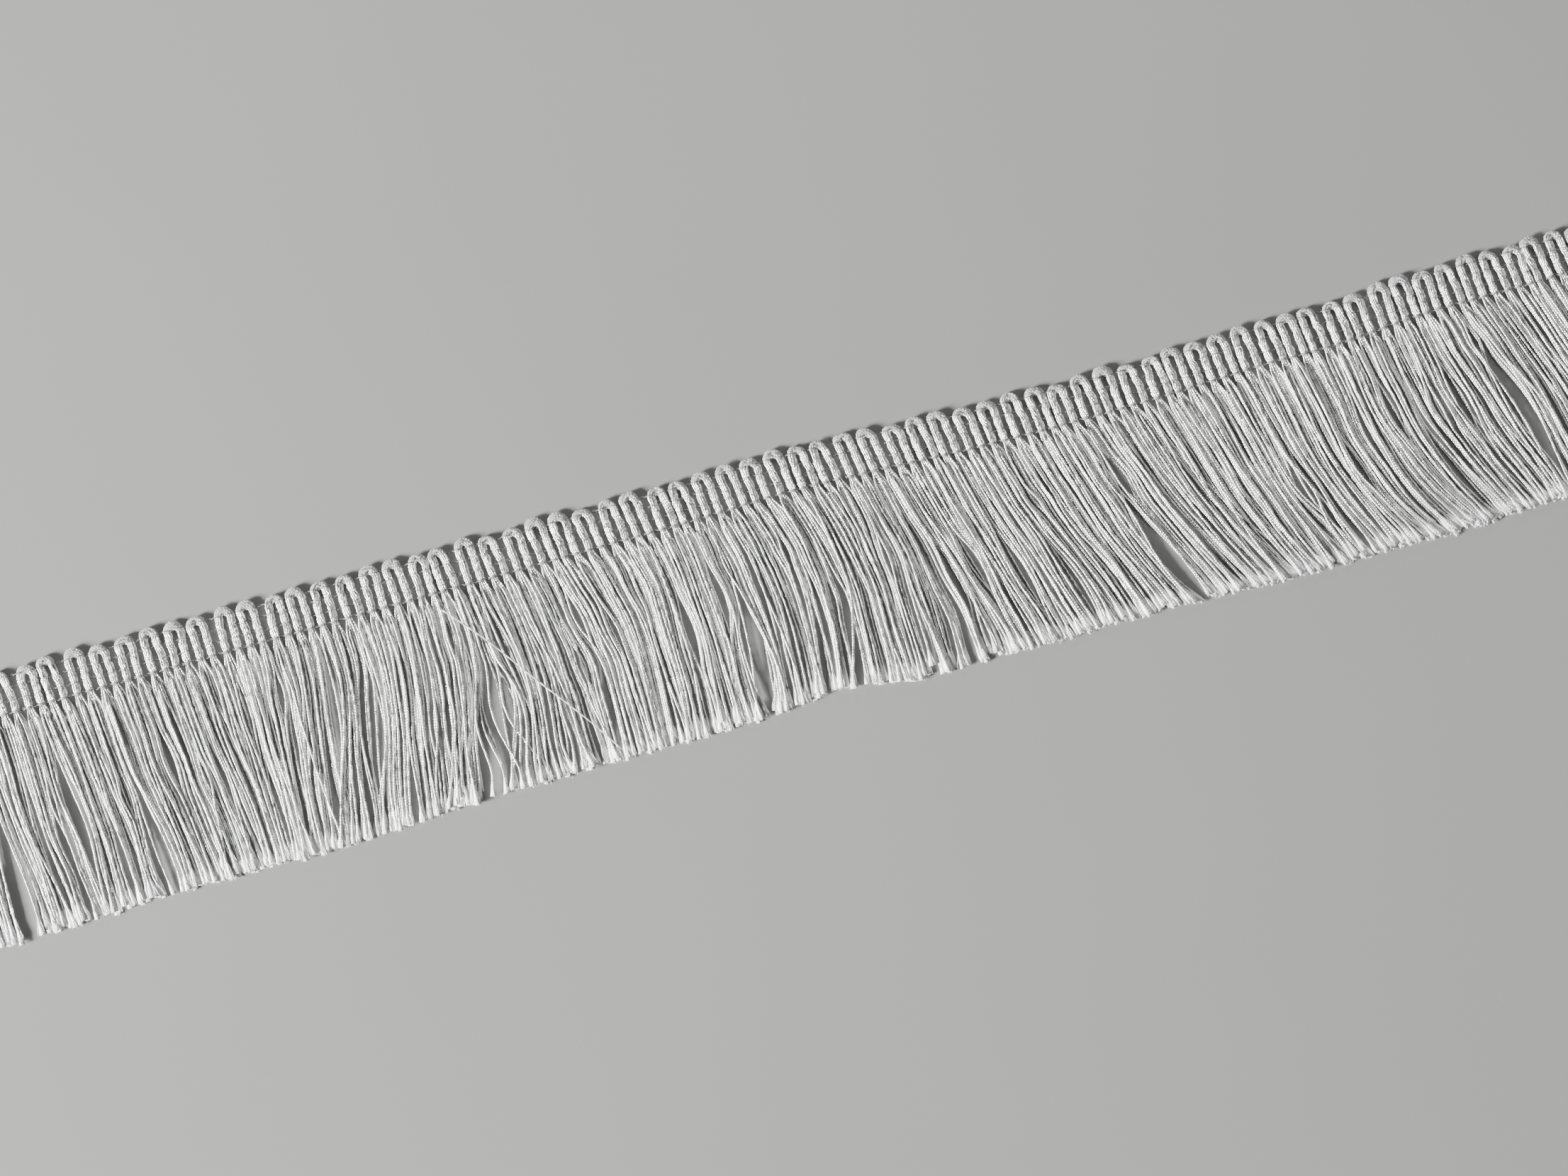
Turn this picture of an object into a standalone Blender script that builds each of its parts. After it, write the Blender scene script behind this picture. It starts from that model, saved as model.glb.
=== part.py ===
"""A length of metallic fringe trim, lying flat: a looped heading, a brushed skirt, four binding threads.

+X runs along the trim, +Y from the cut ends towards the loops, and +Z up from the surface it lies on.
"""

from collections import namedtuple

import bmesh
import bpy
import numpy as np

MM = 0.001

# Along the trim
LENGTH = 350 * MM
LOOP_COUNT = 75
# the loops are this much further apart at the -X end than on average, and as much closer at the +X end
PITCH_SPREAD = 0.06
PITCH_JITTER = 0.16 * MM

# Across the heading, from the tops of the loops to the thread that binds their feet
LOOP_TOP = 25.3 * MM
HEADING_DEPTH = 8.3 * MM
BAND_HEIGHT = 1.0 * MM
LEG_WIDTH = 1.62 * MM
LOOP_SLOT = 0.75 * MM
ARCH_RISE = 1.9 * MM
CROWN_THICKNESS = 1.5 * MM
ARCH_JITTER = 0.28 * MM
HEADING_THICKNESS = 1.3 * MM
FOOT = LOOP_TOP - HEADING_DEPTH

# The skirt is one comb: a spine under the heading, and teeth that hang from it to the cut ends
GAP = 0.3 * MM
SPINE_BOTTOM = 2.8 * MM
SLIT = 0.35 * MM
WIDEST_TOOTH = 8.5 * MM
CLOSEST_SLITS = 1.6 * MM
CLOSE_LOCKS = 2.6 * MM
TIP_JITTER = 0.35 * MM
# thickness of the comb at the spine, its foot, three depths down the teeth, and the cut ends
SKIRT_DEPTHS = np.array([GAP, SPINE_BOTTOM, 11 * MM, 20 * MM, 30 * MM])
SKIRT_THICKNESS = np.array([1.3, 1.4, 1.6, 1.7, 1.7, 1.9]) * MM

# The threads that bind the legs, each as a flat strip just above them
THREAD_DEPTHS = (1.2 * MM, 3.4 * MM, 6.1 * MM, 8.3 * MM)
THREAD_WIDTHS = (0.4 * MM, 0.4 * MM, 0.4 * MM, 0.7 * MM)
THREAD_THICKNESS = 0.35 * MM
THREAD_STEPS = 14

# How the heading lies, in mm: x, how far it rises towards +Y, and how far the loops lean back to -X
Lie = namedtuple("Lie", "x rise lean")
HEADING_LIE = [
    Lie(-180, 0.0, 0.3),
    Lie(-140, 0.0, 0.4),
    Lie(-115, 0.0, 0.1),
    Lie(-85, 0.0, 0.1),
    Lie(-60, 0.0, 0.6),
    Lie(-35, 0.0, 0.9),
    Lie(-10, 0.1, 0.9),
    Lie(5, 0.4, 0.9),
    Lie(20, -0.1, 1.2),
    Lie(41, -1.1, 1.0),
    Lie(60, -1.5, 0.8),
    Lie(85, -1.3, 0.9),
    Lie(98, -0.8, 1.0),
    Lie(112, -0.9, 1.0),
    Lie(130, 0.2, 0.6),
    Lie(150, 0.3, 1.0),
    Lie(164, 0.5, 1.5),
    Lie(180, 0.6, 1.4),
]

# How the skirt is combed, in mm: x at the heading, then the drift to +X at three depths and at the cut
Comb = namedtuple("Comb", "x at_10 at_20 at_30 at_cut")
COMBING = [
    Comb(-180, -1.2, -2.6, -4.2, -6.0),
    Comb(-165, -0.4, -0.8, -1.2, -1.6),
    Comb(-155, 0.2, 0.2, 0.6, 1.0),
    Comb(-142, 0.9, 1.6, 2.0, 2.2),
    Comb(-122, 0.6, 1.8, 2.3, 2.4),
    Comb(-108, 0.5, 1.2, 1.4, 1.2),
    Comb(-98, 0.2, -0.2, -0.9, -1.4),
    Comb(-87, -0.4, -1.6, -4.0, -5.8),
    Comb(-78, -1.0, -3.2, -5.6, -6.6),
    Comb(-70, -0.6, -2.0, -4.2, -5.4),
    Comb(-62, 0.4, 0.2, -1.0, -2.4),
    Comb(-55, 1.6, 2.8, 2.4, 1.8),
    Comb(-41, 2.2, 4.0, 4.6, 4.6),
    Comb(-29, 2.3, 3.2, 3.2, 3.0),
    Comb(-14, 1.6, 2.6, 2.8, 2.4),
    Comb(2, 2.4, 3.4, 3.6, 3.8),
    Comb(19, 1.8, 2.9, 3.6, 4.2),
    Comb(30, 2.6, 5.4, 7.6, 8.8),
    Comb(45, 2.6, 5.6, 8.6, 11.6),
    Comb(62, 2.8, 6.2, 10.6, 15.6),
    Comb(78, 2.4, 5.6, 9.6, 14.2),
    Comb(95, 2.0, 4.6, 8.0, 12.4),
    Comb(112, 1.8, 4.2, 7.8, 12.6),
    Comb(127, 1.8, 4.2, 7.6, 12.0),
    Comb(138, 3.2, 6.4, 9.2, 12.4),
    Comb(155, 3.2, 6.4, 8.8, 11.4),
    Comb(168, 1.8, 3.4, 4.9, 6.6),
    Comb(180, 0.8, 1.5, 2.2, 3.0),
]
COMB_DEPTHS = np.array([0, 10, 20, 30, 41.5]) * MM

# Where locks part, in mm: x halfway down the parting, the depths it starts and ends at, and its width.
# One that ends below the cut is open there.
Parting = namedtuple("Parting", "x start end width")
PARTINGS = [
    Parting(-155.0, 17, 60, 1.7),
    Parting(-143.8, 20, 32, 0.9),
    Parting(-141.0, 8, 37, 1.3),
    Parting(-130.8, 18, 25, 0.6),
    Parting(-127.5, 22, 56, 1.3),
    Parting(-121.0, 12, 23, 0.9),
    Parting(-115.0, 18, 27, 0.6),
    Parting(-97.6, 7, 15, 0.6),
    Parting(-88.6, 5, 31, 0.9),
    Parting(-82.2, 11, 33, 1.6),
    Parting(-70.6, 20, 30, 0.6),
    Parting(-63.8, 5, 13, 0.7),
    Parting(-62.8, 26, 60, 2.6),
    Parting(-58.1, 17, 34, 2.2),
    Parting(-54.3, 6, 19, 0.8),
    Parting(-47.5, 30, 39, 0.6),
    Parting(-40.8, 17, 25, 0.8),
    Parting(-38.8, 7, 17, 1.2),
    Parting(-33.4, 11, 20, 0.7),
    Parting(-26.4, 6, 13, 0.7),
    Parting(-19.4, 14, 27, 0.9),
    Parting(-12.2, 9, 24, 0.8),
    Parting(-9.2, 6, 14, 0.9),
    Parting(-8.9, 18, 46, 2.6),
    Parting(2.1, 8, 13, 0.5),
    Parting(8.8, 19, 26, 0.5),
    Parting(20.8, 11, 22, 0.7),
    Parting(31.4, 16, 31, 0.9),
    Parting(34.4, 29, 44, 1.4),
    Parting(36.1, 16, 28, 1.1),
    Parting(44.2, 17, 33, 1.0),
    Parting(50.6, 10, 15, 0.7),
    Parting(53.8, 21, 38, 1.3),
    Parting(67.3, 8, 17, 1.3),
    Parting(72.7, 18, 42, 1.8),
    Parting(89.8, 17, 28, 0.6),
    Parting(101.0, 21, 31, 0.8),
    Parting(99.8, 17, 30, 0.8),
    Parting(111.4, 18, 29, 0.7),
    Parting(114.8, 11, 25, 0.6),
    Parting(119.4, 37, 52, 1.4),
    Parting(120.0, 9, 21, 1.0),
    Parting(129.6, 14, 22, 0.7),
    Parting(133.2, 11, 24, 0.9),
    Parting(138.8, 26, 50, 1.4),
    Parting(139.4, 5, 11, 0.8),
    Parting(144.3, 10, 33, 1.7),
]

# The line the ends are cut along, in mm: x at the heading and the depth below the feet of the loops
Cut = namedtuple("Cut", "x depth")
CUT_LINE = [
    Cut(-180, 42.2),
    Cut(-150, 42.1),
    Cut(-135, 41.4),
    Cut(-115, 41.3),
    Cut(-90, 41.6),
    Cut(-75, 41.0),
    Cut(-60, 40.1),
    Cut(-25, 39.8),
    Cut(-8, 39.5),
    Cut(0, 38.6),
    Cut(5, 39.1),
    Cut(15, 40.4),
    Cut(30, 40.0),
    Cut(41, 39.3),
    Cut(60, 39.0),
    Cut(85, 39.8),
    Cut(112, 40.3),
    Cut(130, 40.6),
    Cut(180, 41.0),
]


def through(rows, column, x):
    """Height at x of a smooth curve through one column of a table, all in mm."""
    return glide([row.x for row in rows], [getattr(row, column) for row in rows], x)


def glide(knots, values, x):
    """Cubic curve through the points, with each point's slope taken from its neighbours."""
    knots = np.asarray(knots, float)
    values = np.asarray(values, float)
    slopes = np.gradient(values, knots)
    i = np.clip(np.searchsorted(knots, x) - 1, 0, len(knots) - 2)
    step = knots[i + 1] - knots[i]
    t = np.clip((x - knots[i]) / step, 0, 1)
    start = values[i] * (1 + 2 * t) + slopes[i] * step * t
    end = values[i + 1] * (3 - 2 * t) - slopes[i + 1] * step * (1 - t)
    return start * (1 - t) ** 2 + end * t**2


def rise(x):
    return through(HEADING_LIE, "rise", x / MM) * MM


def lean(x):
    return through(HEADING_LIE, "lean", x / MM) * MM


def drift(x, depth):
    """How far yarn that leaves the heading at x has moved along the trim at a depth."""
    columns = [0] + [through(COMBING, name, x / MM) for name in Comb._fields[1:]]
    return glide(COMB_DEPTHS, columns, depth) * MM


def lens(parting, depth):
    """Share of a parting's width that is open at a depth: none at its ends, all of it halfway."""
    start, end = parting.start * MM, parting.end * MM
    inside = np.clip((depth - start) / (end - start), 0, 1)
    return np.sin(np.pi * inside) ** 0.8


def root(parting):
    """Where on the heading a parting's two sides start, found by following the combing back up."""
    depth = (parting.start + min(parting.end, CUT_LINE[0].depth)) / 2 * MM
    place = parting.x * MM
    for _ in range(12):
        place = parting.x * MM - drift(place, depth)
    return place


def loop_centres():
    """The loops' places, a little further apart at the -X end, with a small unevenness."""
    i = np.arange(LOOP_COUNT)
    along = (2 * i + 1) / LOOP_COUNT - 1
    even = LENGTH / 2 * (along + PITCH_SPREAD / 2 * (1 - along**2))
    return even + PITCH_JITTER * (np.sin(2.4 * i) + np.sin(5.1 * i + 1))


def cloth_material(name, colour, roughness, metallic):
    material = bpy.data.materials.new(name)
    material.use_nodes = True
    shader = material.node_tree.nodes["Principled BSDF"]
    shader.inputs["Base Color"].default_value = (*colour, 1)
    shader.inputs["Roughness"].default_value = roughness
    shader.inputs["Metallic"].default_value = metallic
    return material


def slab(name, points, heights, faces, material):
    """Closed solid that stands on a plan: its faces are laid flat, then extruded to each point's height."""
    solid = bmesh.new()
    floor = [solid.verts.new((x, y, 0)) for x, y in points]
    for face in faces:
        solid.faces.new([floor[i] for i in face])
    height_at = {tuple(point.co.xy): height for point, height in zip(floor, heights)}
    copied = bmesh.ops.extrude_face_region(solid, geom=solid.faces[:], use_keep_orig=True)
    for item in copied["geom"]:
        if isinstance(item, bmesh.types.BMVert):
            item.co.z = height_at[tuple(item.co.xy)]
    bmesh.ops.recalc_face_normals(solid, faces=solid.faces)
    mesh = bpy.data.meshes.new(name)
    solid.to_mesh(mesh)
    solid.free()
    mesh.materials.append(material)
    thing = bpy.data.objects.new(name, mesh)
    bpy.context.scene.collection.objects.link(thing)
    return thing


def loop_sections(index):
    """One loop's U, as pairs of outer and inner points in its own frame: up a leg, over, down the other."""
    inner = LOOP_SLOT / 2
    outer = inner + LEG_WIDTH
    crown = HEADING_DEPTH + ARCH_JITTER * (np.sin(1.9 * index) + 0.6 * np.sin(4.7 * index + 1))
    shoulder = crown - ARCH_RISE
    slot_top = crown - CROWN_THICKNESS
    half = [
        ((-outer, BAND_HEIGHT), (-inner, BAND_HEIGHT)),
        ((-outer, shoulder), (-inner, shoulder)),
        ((-0.62 * outer, crown - 0.22 * ARCH_RISE), (-0.7 * inner, slot_top - 0.12 * MM)),
    ]
    other_half = [tuple((-x, y) for x, y in pair) for pair in reversed(half)]
    feet = (-outer, -inner, inner, outer)
    return half + [((0, crown), (0, slot_top))] + other_half, feet


def heading(material):
    """The looped heading: U-shaped loops side by side, joined by a band along their feet."""
    points, faces = [], []
    band = []

    def add(x, above_feet):
        back = lean(x) * above_feet / HEADING_DEPTH
        points.append((x - back, FOOT + rise(x) + above_feet))
        return len(points) - 1

    for index, centre in enumerate(loop_centres()):
        sections, feet = loop_sections(index)
        outer = [add(centre + pair[0][0], pair[0][1]) for pair in sections]
        inner = [add(centre + pair[1][0], pair[1][1]) for pair in sections]
        for k in range(len(sections) - 1):
            faces.append((outer[k], inner[k], inner[k + 1], outer[k + 1]))
        upper = (outer[0], inner[0], inner[-1], outer[-1])
        band += [(top, add(centre + foot, 0)) for top, foot in zip(upper, feet)]
    for (top, low), (next_top, next_low) in zip(band, band[1:]):
        faces.append((top, low, next_low, next_top))
    return slab("heading", points, [HEADING_THICKNESS] * len(points), faces, material)


def slits():
    """The comb's slits as (place on the heading, partings in it), none of them far apart."""
    ends = loop_centres()[[0, -1]] + np.array([-1, 1]) * (LEG_WIDTH + LOOP_SLOT / 2)
    groups = []
    for place, parting in sorted((root(parting), parting) for parting in PARTINGS):
        if groups and place - groups[-1][0] < CLOSEST_SLITS:
            groups[-1][1].append(parting)
        else:
            groups.append((place, [parting]))
    filled = [(ends[0], [])]
    for place, partings in groups + [(ends[1], [])]:
        last = filled[-1][0]
        extra = int((place - last) // WIDEST_TOOTH)
        filled += [(last + (place - last) * k / (extra + 1), []) for k in range(1, extra + 1)]
        filled.append((place, partings))
    return filled


def skirt(material):
    """The skirt: a comb whose teeth follow the combing and stand apart where locks part."""
    places = slits()
    middles = [place for place, _ in places]
    cut = [
        through(CUT_LINE, "depth", place / MM) * MM + TIP_JITTER * np.sin(3.7 * k)
        for k, place in enumerate(middles)
    ]
    points, heights, faces = [], [], []

    def half_gap(partings, depth):
        return SLIT / 2 + sum(part.width * MM * lens(part, depth) for part in partings) / 2

    def pushed(place, depth):
        """Sideways push that partings elsewhere give, fading along the trim."""
        push = 0
        for other, partings in places:
            away = place - other
            near = np.sign(away) * np.exp(-abs(away) / CLOSE_LOCKS)
            push += near * (half_gap(partings, depth) - SLIT / 2)
        return push

    def edge(k, side):
        """The points down one side of a slit, from the spine's top to the cut."""
        place, partings = places[k]
        at_end = k in (0, len(places) - 1)
        column = []
        for depth, height in zip([*SKIRT_DEPTHS, cut[k]], SKIRT_THICKNESS):
            x = place + drift(place, depth) + pushed(place, depth)
            x += 0 if at_end else side * half_gap(partings, depth)
            points.append((x, FOOT + rise(place) - depth))
            heights.append(height)
            column.append(len(points) - 1)
        return column

    last = edge(0, 1)
    for k in range(1, len(places)):
        left, right = last, edge(k, -1)
        for j in range(len(left) - 1):
            faces.append((left[j], left[j + 1], right[j + 1], right[j]))
        if k < len(places) - 1:
            last = edge(k, 1)
            faces.append((right[0], right[1], last[1], last[0]))
    return slab("skirt", points, heights, faces, material)


def binding_row(number, depth, width, material):
    """One binding thread: a narrow strip that follows the heading's lie, just above the legs."""
    above_feet = HEADING_DEPTH - depth
    first, last = loop_centres()[[0, -1]] + np.array([-1, 1]) * (LEG_WIDTH + LOOP_SLOT)
    points, faces = [], []
    for x in np.linspace(first, last, THREAD_STEPS + 1):
        middle = FOOT + rise(x) + above_feet
        back = lean(x) * above_feet / HEADING_DEPTH
        points += [(x - back, middle - width / 2), (x - back, middle + width / 2)]
    for k in range(0, 2 * THREAD_STEPS, 2):
        faces.append((k, k + 2, k + 3, k + 1))
    strip = slab(
        f"binding_row_{number}", points, [THREAD_THICKNESS] * len(points), faces, material
    )
    strip.location.z = HEADING_THICKNESS + GAP
    return strip


def main():
    for thing in list(bpy.data.objects):
        bpy.data.objects.remove(thing, do_unlink=True)
    metallic_yarn = cloth_material("metallic_yarn", (0.78, 0.78, 0.75), 0.36, 0.7)
    brushed_yarn = cloth_material("brushed_yarn", (0.82, 0.82, 0.79), 0.42, 0.6)
    clear_thread = cloth_material("clear_thread", (0.52, 0.53, 0.52), 0.3, 0.0)
    heading(metallic_yarn)
    skirt(brushed_yarn)
    for number, (depth, width) in enumerate(zip(THREAD_DEPTHS, THREAD_WIDTHS), 1):
        binding_row(number, depth, width, clear_thread)


main()
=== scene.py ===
"""Fringe trim with a looped heading: the finish of every yarn and thread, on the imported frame.

Laid out as a Blender add-on and run as a script. Lengths are in metres, and the tables in
millimetres.
"""

from collections import namedtuple

import bpy
import numpy as np
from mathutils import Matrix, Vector


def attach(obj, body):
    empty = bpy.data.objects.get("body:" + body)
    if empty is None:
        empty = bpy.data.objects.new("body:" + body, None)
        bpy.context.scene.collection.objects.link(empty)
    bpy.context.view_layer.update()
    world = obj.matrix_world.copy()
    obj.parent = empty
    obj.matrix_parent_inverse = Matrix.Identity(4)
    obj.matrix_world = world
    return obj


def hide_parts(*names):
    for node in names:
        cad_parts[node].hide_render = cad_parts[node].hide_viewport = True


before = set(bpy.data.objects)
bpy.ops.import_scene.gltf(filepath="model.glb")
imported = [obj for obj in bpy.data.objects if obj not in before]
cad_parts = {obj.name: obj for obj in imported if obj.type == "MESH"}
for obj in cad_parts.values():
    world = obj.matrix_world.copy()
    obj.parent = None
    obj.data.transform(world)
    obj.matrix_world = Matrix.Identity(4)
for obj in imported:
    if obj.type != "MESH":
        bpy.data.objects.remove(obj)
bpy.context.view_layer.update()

bl_info = {
    "name": "Looped Fringe Trim",
    "version": (1, 0, 0),
    "blender": (4, 5, 0),
    "location": "3D View > Sidebar > Fringe Trim",
    "description": "Builds a metallic fringe trim from its yarns and binding threads",
    "category": "Object",
}

MM = 0.001
BODY = "root"

# The heading's plan, as in its solid
LENGTH = 350 * MM
LOOP_COUNT = 75
PITCH_SPREAD = 0.06
PITCH_JITTER = 0.16 * MM
LOOP_TOP = 25.3 * MM
HEADING_DEPTH = 8.3 * MM
FOOT = LOOP_TOP - HEADING_DEPTH
ARCH_JITTER = 0.28 * MM
LEG_WIDTH = 1.62 * MM
LOOP_SLOT = 0.75 * MM
LEG_REACH = (LEG_WIDTH + LOOP_SLOT) / 2
LEG_MIDDLE = 0.62 * MM

# How the heading lies, in mm: x, how far it rises towards +Y, and how far the loops lean back to -X
Lie = namedtuple("Lie", "x rise lean")
HEADING_LIE = [
    Lie(-180, 0.0, 0.3),
    Lie(-140, 0.0, 0.4),
    Lie(-115, 0.0, 0.1),
    Lie(-85, 0.0, 0.1),
    Lie(-60, 0.0, 0.6),
    Lie(-35, 0.0, 0.9),
    Lie(-10, 0.1, 0.9),
    Lie(5, 0.4, 0.9),
    Lie(20, -0.1, 1.2),
    Lie(41, -1.1, 1.0),
    Lie(60, -1.5, 0.8),
    Lie(85, -1.3, 0.9),
    Lie(98, -0.8, 1.0),
    Lie(112, -0.9, 1.0),
    Lie(130, 0.2, 0.6),
    Lie(150, 0.3, 1.0),
    Lie(164, 0.5, 1.5),
    Lie(180, 0.6, 1.4),
]

# How the skirt is combed, in mm: x at the heading, then the drift to +X at three depths and at the
# cut
Comb = namedtuple("Comb", "x at_10 at_20 at_30 at_cut")
COMBING = [
    Comb(-180, -1.2, -2.6, -4.2, -6.0),
    Comb(-165, -0.4, -0.8, -1.2, -1.6),
    Comb(-155, 0.2, 0.2, 0.6, 1.0),
    Comb(-142, 0.8, 1.5, 2.2, 2.8),
    Comb(-122, 0.8, 1.7, 2.9, 4.0),
    Comb(-108, 0.7, 1.2, 2.0, 2.6),
    Comb(-98, -0.4, -1.3, -1.9, -2.2),
    Comb(-87, 0.0, -1.2, -3.3, -5.3),
    Comb(-78, 0.3, -1.3, -3.5, -5.5),
    Comb(-70, -0.1, -1.1, -2.6, -4.2),
    Comb(-62, 0.5, 0.1, -1.5, -3.8),
    Comb(-55, 1.4, 2.4, 1.6, 0.4),
    Comb(-48, 1.4, 2.4, 2.4, 2.2),
    Comb(-41, 2.5, 4.5, 4.9, 5.0),
    Comb(-29, 2.2, 3.1, 3.0, 2.4),
    Comb(-14, 1.5, 2.3, 2.3, 1.8),
    Comb(2, 3.0, 4.4, 4.1, 3.3),
    Comb(10, 3.0, 4.8, 5.1, 5.0),
    Comb(19, 1.8, 3.3, 3.6, 3.8),
    Comb(25, 2.5, 5.4, 7.4, 8.6),
    Comb(30, 2.6, 5.5, 8.1, 11.0),
    Comb(38, 2.3, 5.0, 7.8, 10.6),
    Comb(45, 2.8, 6.4, 10.0, 13.6),
    Comb(54, 2.6, 5.6, 9.6, 13.8),
    Comb(62, 3.1, 6.7, 11.2, 17.2),
    Comb(70, 3.1, 6.8, 11.5, 17.8),
    Comb(78, 2.8, 5.9, 9.8, 15.6),
    Comb(95, 2.3, 4.6, 8.0, 12.8),
    Comb(112, 1.7, 3.6, 7.2, 14.2),
    Comb(127, 1.8, 4.0, 7.6, 12.8),
    Comb(138, 3.2, 6.4, 9.2, 12.4),
    Comb(155, 3.2, 6.4, 8.8, 11.4),
    Comb(168, 1.8, 3.4, 4.9, 6.6),
    Comb(180, 0.8, 1.5, 2.2, 3.0),
]
COMB_DEPTHS = np.array([0, 10, 20, 30, 41.5]) * MM

# Where locks part, in mm: x halfway down the parting, the depths of its two ends, and its width
Parting = namedtuple("Parting", "x start end width")
PARTINGS = [
    Parting(-155.0, 17, 60, 1.7),
    Parting(-143.8, 20, 32, 0.9),
    Parting(-141.0, 8, 37, 1.3),
    Parting(-130.8, 18, 25, 0.6),
    Parting(-127.5, 22, 56, 1.3),
    Parting(-121.0, 12, 23, 0.9),
    Parting(-115.0, 18, 27, 0.6),
    Parting(-97.6, 7, 15, 0.6),
    Parting(-88.6, 5, 31, 0.9),
    Parting(-82.2, 11, 33, 2.1),
    Parting(-70.6, 20, 30, 0.6),
    Parting(-63.8, 5, 13, 0.7),
    Parting(-62.8, 26, 60, 3.4),
    Parting(-58.1, 17, 34, 4.4),
    Parting(-54.3, 6, 19, 0.8),
    Parting(-47.5, 30, 39, 0.6),
    Parting(-40.8, 17, 25, 0.8),
    Parting(-38.8, 7, 17, 1.2),
    Parting(-33.4, 11, 20, 0.7),
    Parting(-26.4, 6, 13, 0.7),
    Parting(-19.4, 14, 27, 0.9),
    Parting(-12.2, 9, 24, 0.8),
    Parting(-9.2, 6, 14, 0.9),
    Parting(-8.9, 18, 46, 4.2),
    Parting(2.1, 8, 13, 0.5),
    Parting(8.8, 19, 26, 0.5),
    Parting(20.8, 11, 22, 0.7),
    Parting(31.4, 16, 31, 0.9),
    Parting(34.4, 29, 44, 1.4),
    Parting(36.1, 16, 28, 1.1),
    Parting(44.2, 17, 33, 1.0),
    Parting(50.6, 10, 15, 0.7),
    Parting(53.8, 21, 38, 1.3),
    Parting(67.3, 8, 17, 1.8),
    Parting(72.7, 18, 42, 2.2),
    Parting(89.8, 17, 28, 0.6),
    Parting(101.0, 21, 31, 0.8),
    Parting(99.8, 17, 30, 0.8),
    Parting(111.4, 18, 29, 0.7),
    Parting(114.8, 11, 25, 0.6),
    Parting(119.4, 37, 52, 1.4),
    Parting(120.0, 9, 21, 1.0),
    Parting(129.6, 14, 22, 0.7),
    Parting(133.2, 11, 24, 0.9),
    Parting(138.8, 26, 50, 1.4),
    Parting(139.4, 5, 11, 0.8),
    Parting(144.3, 10, 33, 2.3),
]
# A parting is this much wider for each mm of its length
OPEN_WIDER = 0.05
# Small partings between neighbouring legs, drawn at random between these sizes in mm
FINE_PARTINGS = 4
FINE_STARTS = (0, 28)
FINE_LENGTHS = (8, 24)
FINE_WIDTHS = (0.15, 0.45)
# No small parting reaches deeper than this
FINE_DEEPEST = 37.5 * MM
# The distance over which a parting's push fades away, for the main partings and the small ones
CLOSE_LOCKS = 2.6 * MM
CLOSE_FINE_LOCKS = 0.9 * MM
# The share of yarns that go astray at a parting, and the range of their share of its push
ASTRAY = 0.06
ASTRAY_PUSH = (-0.8, 0.3)

# How dull the yarns lie, from 0 to 1
Sheen = namedtuple("Sheen", "x dull")
SHEEN = [
    Sheen(-175, 0.4),
    Sheen(-140, 0.5),
    Sheen(-115, 0.8),
    Sheen(-98, 0.2),
    Sheen(-80, 0.0),
    Sheen(-55, 0.3),
    Sheen(-15, 0.15),
    Sheen(8, 0.8),
    Sheen(35, 0.35),
    Sheen(85, 0.4),
    Sheen(112, 0.0),
    Sheen(140, 0.5),
    Sheen(175, 0.4),
]

# Where more yarns than elsewhere cross their neighbours, in mm
Ruffle = namedtuple("Ruffle", "x reach")
RUFFLES = [Ruffle(-64, 7), Ruffle(-52, 5), Ruffle(-11, 5), Ruffle(34, 4), Ruffle(141, 4)]

# Slow waves down each yarn, as how many fit in its length and their usual size
WAVES = (0.8, 1.7)
WAVE_SIZE = 0.2 * MM
# The usual slant at the cut, of a yarn, of all the yarns of a leg, and of a stray yarn
SLANT = 0.45 * MM
LOCK_SLANT = 0.5 * MM
STRAY_SLANT = 2.8 * MM
# The share of yarns that stray, and how much larger it is where they ruffle
STRAYS = 0.07
RUFFLE_STRAYS = 0.3
# Widths of the tufts at the cut in mm, and the most that a yarn leans to the middle of its tuft
TUFT_SIZES = (1.6, 5.5)
TUFT_PULL = 0.25
# The height of the lowest layer of yarns, the steps up to the next one and to a stray yarn, the
# least height of a yarn's middle, and how much painted shade greys each layer, from the lowest up
LOWEST_LAYER = 0.26 * MM
LAYER_STEP = 0.34 * MM
STRAY_STEP = 0.28 * MM
LOWEST_MIDDLE = 0.23 * MM
LAYER_PAINTED_SHADE = (0.6, 0.2, 0.0)
# How far up inside its leg a skirt yarn starts
SKIRT_TUCK = 0.25 * MM

# The line the ends are cut along, in mm: x at the heading and the depth below the feet of the loops
Cut = namedtuple("Cut", "x depth")
CUT_LINE = [
    Cut(-180, 42.2),
    Cut(-150, 42.1),
    Cut(-135, 41.4),
    Cut(-115, 41.3),
    Cut(-90, 41.6),
    Cut(-75, 41.0),
    Cut(-60, 40.1),
    Cut(-25, 39.8),
    Cut(-8, 39.5),
    Cut(0, 38.6),
    Cut(5, 39.1),
    Cut(15, 40.4),
    Cut(30, 40.0),
    Cut(41, 39.3),
    Cut(60, 39.0),
    Cut(85, 39.8),
    Cut(112, 40.3),
    Cut(130, 40.6),
    Cut(180, 41.0),
]
DEEPEST_CUT = max(cut.depth for cut in CUT_LINE)
# How unevenly the yarns are cut, the share of them that are shorter, and by how much in mm
CUT_UNEVENNESS = 0.28 * MM
SHORT_YARNS = 0.06
SHORTER_BY = (0.6, 2.2)

# How uneven a yarn's thickness is, and what untwisting at the cut does to its width and height
SKIRT_BEADS = 0.1
FRAYED_WIDER = 1.7
FRAYED_FLATTER = 0.5

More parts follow.
